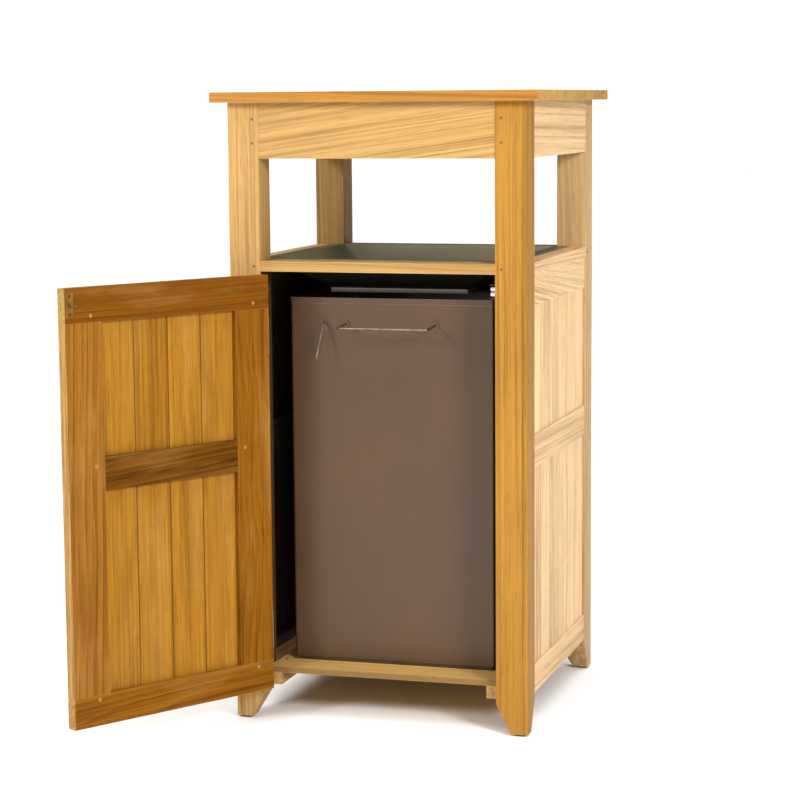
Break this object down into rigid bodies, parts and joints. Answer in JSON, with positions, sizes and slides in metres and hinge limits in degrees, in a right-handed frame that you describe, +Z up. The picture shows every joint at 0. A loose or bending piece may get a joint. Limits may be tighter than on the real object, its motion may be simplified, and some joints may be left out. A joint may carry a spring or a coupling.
{
  "type": "litter bin",
  "caption": "Square hardwood litter bin with an open mouth on every side under a flat cap, a steel hopper, a hinged slatted door and a lift-out steel liner.",
  "frame": {"origin": "centre of the cabinet's footprint, on the ground under the foot glides", "axes": "+Z up, the door side faces -Y, +X to the right seen from the door side"},
  "size_m": [0.65, 0.8401, 1],
  "materials": {
    "teak": "oiled, open grain",
    "peg_wood": "end grain",
    "liner_paint": "satin brown powder coat",
    "hopper_steel": "dull grey-green",
    "plated_steel": "zinc plated",
    "aged_brass": "dull, aged",
    "white_nylon": "moulded",
    "black_plastic": "moulded"
  },
  "bodies": {
    "cabinet": {"cabinet_screws": "plated_steel", "cap_battens": "teak", "cap_board_front": "teak", "cap_board_middle": "teak", "cap_board_rear": "teak", "catch_body": "plated_steel", "floor_bearers": "teak", "floor_boards": "teak", "foot_glides": "black_plastic", "frame_pegs": "peg_wood", "front_apron": "teak", "front_ledge": "teak", "front_left_post": "teak", "front_right_post": "teak", "hopper": "hopper_steel", "left_apron": "teak", "left_bottom_rail": "teak", "left_ledge": "teak", "left_mid_rail": "teak", "left_top_rail": "teak", "left_wall_slats": "teak", "liner_base_board": "teak", "lower_hinge_pin": "plated_steel", "lower_hinge_post_leaf": "plated_steel", "rear_apron": "teak", "rear_bottom_rail": "teak", "rear_ledge": "teak", "rear_left_post": "teak", "rear_mid_rail": "teak", "rear_right_post": "teak", "rear_top_rail": "teak", "rear_wall_slats": "teak", "right_apron": "teak", "right_bottom_rail": "teak", "right_ledge": "teak", "right_mid_rail": "teak", "right_top_rail": "teak", "right_wall_slats": "teak", "upper_hinge_pin": "plated_steel", "upper_hinge_post_leaf": "plated_steel"},
    "door": {"door_bottom_rail": "teak", "door_free_stile": "teak", "door_hinge_stile": "teak", "door_mid_rail": "teak", "door_pegs": "peg_wood", "door_screws": "plated_steel", "door_slats": "teak", "door_top_rail": "teak", "strike_plate": "aged_brass", "upper_hinge_door_leaf": "plated_steel", "lower_hinge_door_leaf": "plated_steel"},
    "liner": {"liner_box": "liner_paint", "liner_handle": "liner_paint", "liner_hook": "liner_paint", "liner_bosses": "liner_paint"},
    "catch_upper_axle": {"catch_upper_axle": "plated_steel"},
    "catch_lower_axle": {"catch_lower_axle": "plated_steel"},
    "catch_upper_roller": {"catch_upper_roller": "white_nylon"},
    "catch_lower_roller": {"catch_lower_roller": "white_nylon"}
  },
  "joints": [
    {"name": "door_hinge", "type": "hinge", "parent": "cabinet", "child": "door", "pos_m": [-0.1885, -0.2433, 0.387], "axis": [0, 0, -1], "range_deg": [-122.5, 57.5]},
    {"name": "liner_slide", "type": "slide", "parent": "cabinet", "child": "liner", "axis": [0, -1, 0], "range_m": [0, 0.43]},
    {"name": "upper_axle_slide", "type": "slide", "parent": "cabinet", "child": "catch_upper_axle", "axis": [0, 0, 1], "range_m": [0, 0.0012], "stiffness_N_per_m": 4000, "springref_m": -0.001},
    {"name": "lower_axle_slide", "type": "slide", "parent": "cabinet", "child": "catch_lower_axle", "axis": [0, 0, -1], "range_m": [0, 0.0012], "stiffness_N_per_m": 4000, "springref_m": -0.001},
    {"name": "upper_roller_spin", "type": "hinge", "parent": "catch_upper_axle", "child": "catch_upper_roller", "pos_m": [0.18, -0.212, 0.6964], "axis": [1, 0, 0], "continuous": true},
    {"name": "lower_roller_spin", "type": "hinge", "parent": "catch_lower_axle", "child": "catch_lower_roller", "pos_m": [0.18, -0.212, 0.6884], "axis": [1, 0, 0], "continuous": true}
  ]
}
